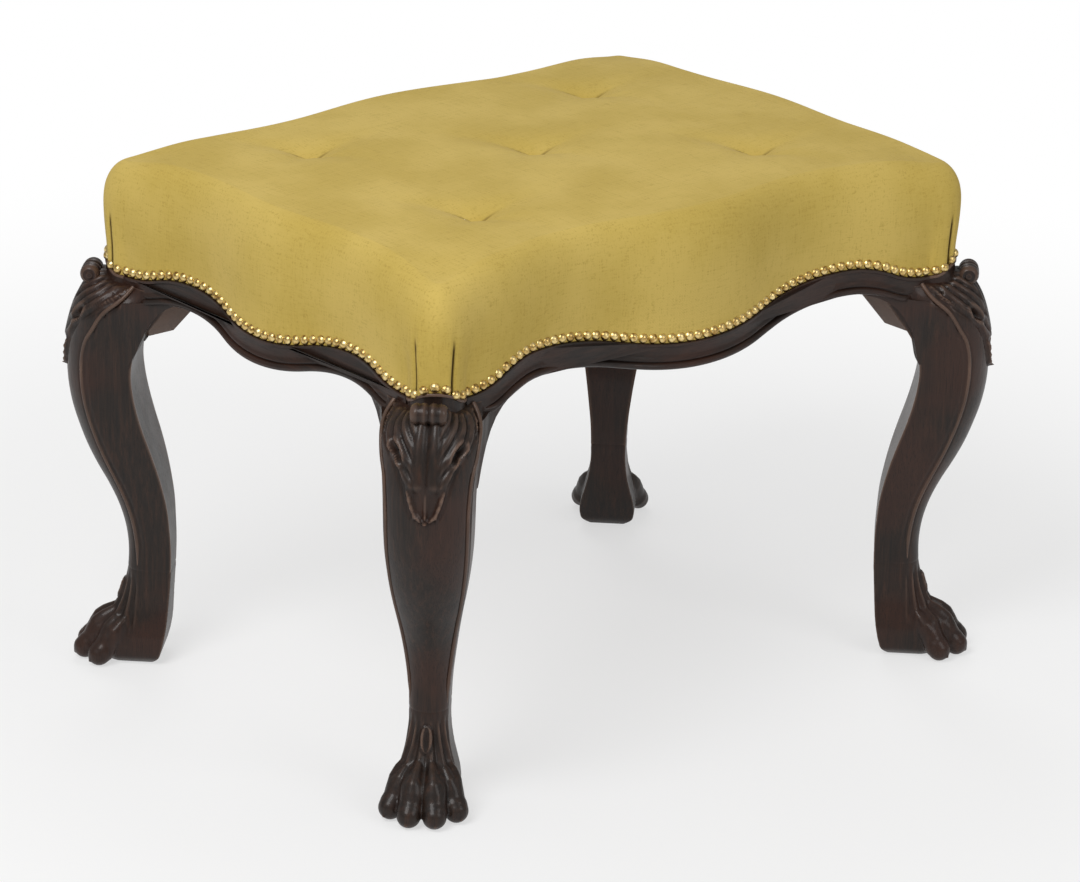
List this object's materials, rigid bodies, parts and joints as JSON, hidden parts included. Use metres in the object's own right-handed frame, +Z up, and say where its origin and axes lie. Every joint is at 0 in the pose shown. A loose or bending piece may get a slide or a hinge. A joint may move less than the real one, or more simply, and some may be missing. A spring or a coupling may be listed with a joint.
{
  "type": "upholstered stool",
  "caption": "Over-stuffed rectangular stool with serpentine sides, close-nailed cloth seat with shallow tufts, and cabriole legs with lion-paw feet.",
  "frame": {"origin": "on the floor, under the middle of the stool", "axes": "+X along the long sides, to the right seen from the front; +Y along the short sides, to the back; +Z up"},
  "size_m": [0.6536, 0.5036, 0.462],
  "materials": {
    "mahogany": "dark, waxed and rubbed",
    "beech": "plain, unfinished",
    "cover_cloth": "plain weave, matt mustard yellow",
    "muslin": "thin unbleached cotton",
    "hessian": "open coarse weave",
    "webbing_jute": "striped twill tape",
    "grass_pad": "matted fibre",
    "curled_hair": "matted curled hair",
    "twine": "waxed linen cord",
    "tab_leather": "matt offcut",
    "nail_brass": "bright, lightly worn",
    "screw_steel": "dull",
    "tack_iron": "blued"
  },
  "bodies": {
    "root": {"leg_back_left": "mahogany", "knee_bracket_back_left_long": "mahogany", "knee_bracket_back_left_short": "mahogany", "corner_brace_back_left": "beech", "leg_back_right": "mahogany", "knee_bracket_back_right_long": "mahogany", "knee_bracket_back_right_short": "mahogany", "corner_brace_back_right": "beech", "leg_front_left": "mahogany", "knee_bracket_front_left_long": "mahogany", "knee_bracket_front_left_short": "mahogany", "corner_brace_front_left": "beech", "leg_front_right": "mahogany", "knee_bracket_front_right_long": "mahogany", "knee_bracket_front_right_short": "mahogany", "corner_brace_front_right": "beech", "rail_back": "mahogany", "nails_back": "nail_brass", "rail_front": "mahogany", "nails_front": "nail_brass", "rail_left": "mahogany", "nails_left": "nail_brass", "rail_right": "mahogany", "nails_right": "nail_brass", "tenon_pegs": "beech", "brace_screws": "screw_steel", "webbing_lengthwise": "webbing_jute", "webbing_crosswise": "webbing_jute", "webbing_tacks": "tack_iron", "base_hessian": "hessian", "first_stuffing": "grass_pad", "second_stuffing": "curled_hair", "muslin_undercover": "muslin", "top_cover": "cover_cloth", "tuft_twines": "twine", "tuft_tabs": "tab_leather"}
  },
  "joints": []
}
